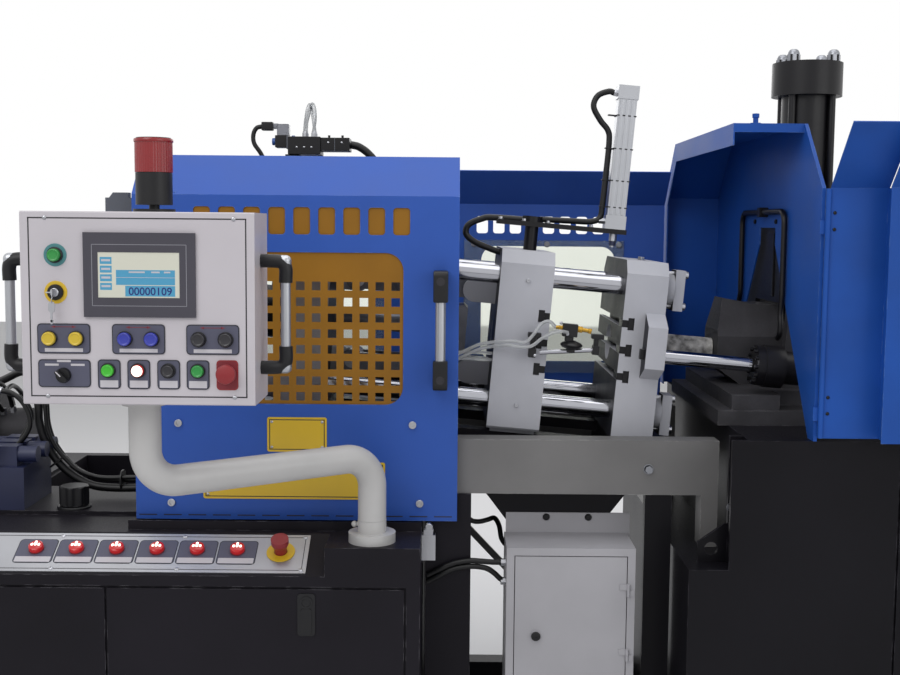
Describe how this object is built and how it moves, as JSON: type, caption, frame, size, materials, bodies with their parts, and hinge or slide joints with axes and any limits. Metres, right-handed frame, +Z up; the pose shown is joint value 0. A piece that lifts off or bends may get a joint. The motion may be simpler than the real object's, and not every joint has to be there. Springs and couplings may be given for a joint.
{
  "type": "hot chamber die casting machine",
  "caption": "Hot chamber die casting machine with a sloped toggle clamp, sliding guard door, swinging control panel, furnace base and upright injection cylinder.",
  "frame": {"origin": "on the floor, at the centre of the four anchor bolt holes", "axes": "+X from the clamp to the furnace, +Y away from the operator, +Z up"},
  "size_m": [2.9, 1.438, 1.952],
  "materials": {
    "base_paint": "semi-gloss dark grey",
    "furnace_paint": "semi-gloss dark grey",
    "blue_paint": "gloss blue",
    "gold_paint": "satin gold",
    "grey_paint": "satin grey",
    "light_paint": "satin light grey",
    "black_paint": "satin black",
    "machined": "ground",
    "cast": "painted casting",
    "links": "oiled",
    "bars": "hard chrome",
    "stainless": "brushed stainless",
    "alloy": "anodised",
    "black_plastic": "moulded",
    "red_plastic": "moulded",
    "clear_plastic": "clear sheet",
    "hot_steel": "heat stained"
  },
  "bodies": {
    "frame": {"base_cabinet": "base_paint", "console_plate": "stainless", "console_buttons": "red_plastic", "emergency_stop": "red_plastic", "filler_cap": "black_plastic", "pump_motor": "cast", "hydraulic_manifold": "cast", "leveling_feet": "machined", "frame_leg": "base_paint", "front_beam": "grey_paint", "rear_beam": "grey_paint", "clamp_bed": "grey_paint", "fixed_platen": "machined", "tail_platen": "machined", "tie_bars": "bars", "keeper_plates": "machined", "clamp_cylinder": "black_paint", "door_rail": "grey_paint", "rear_guard": "blue_paint", "rear_window": "clear_plastic", "hood": "blue_paint", "hood_rod": "black_paint", "injection_cylinder": "black_paint", "injection_frame": "black_paint", "gooseneck": "cast", "nozzle": "hot_steel", "traverse_cylinders": "black_paint", "furnace": "cast", "furnace_base": "furnace_paint", "arm_flange": "light_paint", "heater_cabinet": "grey_paint", "chute": "stainless", "valve_block": "cast", "limit_switch": "alloy"},
    "clamp_carriage": {"moving_platen": "machined", "crosshead": "links", "carrier_arm": "black_paint", "air_cylinder": "alloy", "spray_arm": "machined"},
    "rear_toggle_upper": {"rear_link_upper": "links"},
    "rear_toggle_lower": {"rear_link_lower": "links"},
    "front_toggle_upper": {"front_link_upper": "links"},
    "front_toggle_lower": {"front_link_lower": "links"},
    "drag_toggle_upper": {"drag_link_upper": "links"},
    "drag_toggle_lower": {"drag_link_lower": "links"},
    "door": {"sliding_door": "blue_paint", "window_grille": "gold_paint", "door_handle": "alloy"},
    "guard": {"guard_door": "blue_paint"},
    "panel_arm": {"arm_pipe": "light_paint", "control_box": "light_paint", "touch_screen": "black_plastic", "panel_buttons": "black_plastic", "box_handles": "alloy", "beacon": "red_plastic"},
    "heater_door": {"cabinet_door": "grey_paint"}
  },
  "joints": [
    {"name": "platen_slide", "type": "slide", "parent": "frame", "child": "clamp_carriage", "axis": [0.9966, 0, -0.0819], "range_m": [-0.15, 0]},
    {"name": "rear_pivot_upper", "type": "hinge", "parent": "frame", "child": "rear_toggle_upper", "pos_m": [-0.23667, 0, 1.36181], "axis": [0, 1, 0], "range_deg": [-60, 0]},
    {"name": "rear_pivot_lower", "type": "hinge", "parent": "frame", "child": "rear_toggle_lower", "pos_m": [-0.25388, 0, 1.15251], "axis": [0, 1, 0], "range_deg": [0, 60]},
    {"name": "front_pivot_upper", "type": "hinge", "parent": "clamp_carriage", "child": "front_toggle_upper", "pos_m": [0.06232, 0, 1.33723], "axis": [0, 1, 0], "range_deg": [0, 60]},
    {"name": "front_pivot_lower", "type": "hinge", "parent": "clamp_carriage", "child": "front_toggle_lower", "pos_m": [0.04511, 0, 1.12793], "axis": [0, 1, 0], "range_deg": [-60, 0]},
    {"name": "drag_pivot_upper", "type": "hinge", "parent": "clamp_carriage", "child": "drag_toggle_upper", "pos_m": [0.02295, 0, 1.28026], "axis": [0, 1, 0], "range_deg": [0, 47.63]},
    {"name": "drag_pivot_lower", "type": "hinge", "parent": "clamp_carriage", "child": "drag_toggle_lower", "pos_m": [0.01557, 0, 1.19056], "axis": [0, 1, 0], "range_deg": [-47.63, 0]},
    {"name": "door_slide", "type": "slide", "parent": "frame", "child": "door", "axis": [1, 0, 0], "range_m": [0, 0.636]},
    {"name": "guard_hinge", "type": "hinge", "parent": "frame", "child": "guard", "pos_m": [0.817, -0.517, 1.3], "axis": [0, 0, 1], "range_deg": [-180, 0]},
    {"name": "arm_swivel", "type": "hinge", "parent": "frame", "child": "panel_arm", "pos_m": [-0.172, -0.475, 0.85], "axis": [0, 0, 1], "range_deg": [0, 75]},
    {"name": "cabinet_hinge", "type": "hinge", "parent": "frame", "child": "heater_door", "pos_m": [0.422, -0.393, 0.55], "axis": [0, 0, 1], "range_deg": [0, 110]}
  ],
  "couplings": [
    {"joint": "rear_pivot_upper", "follows": "platen_slide", "rad_per_m": 6.9813},
    {"joint": "rear_pivot_lower", "follows": "platen_slide", "rad_per_m": -6.9813},
    {"joint": "front_pivot_upper", "follows": "platen_slide", "rad_per_m": -6.9813},
    {"joint": "front_pivot_lower", "follows": "platen_slide", "rad_per_m": 6.9813},
    {"joint": "drag_pivot_upper", "follows": "platen_slide", "rad_per_m": -5.5415},
    {"joint": "drag_pivot_lower", "follows": "platen_slide", "rad_per_m": 5.5415}
  ]
}
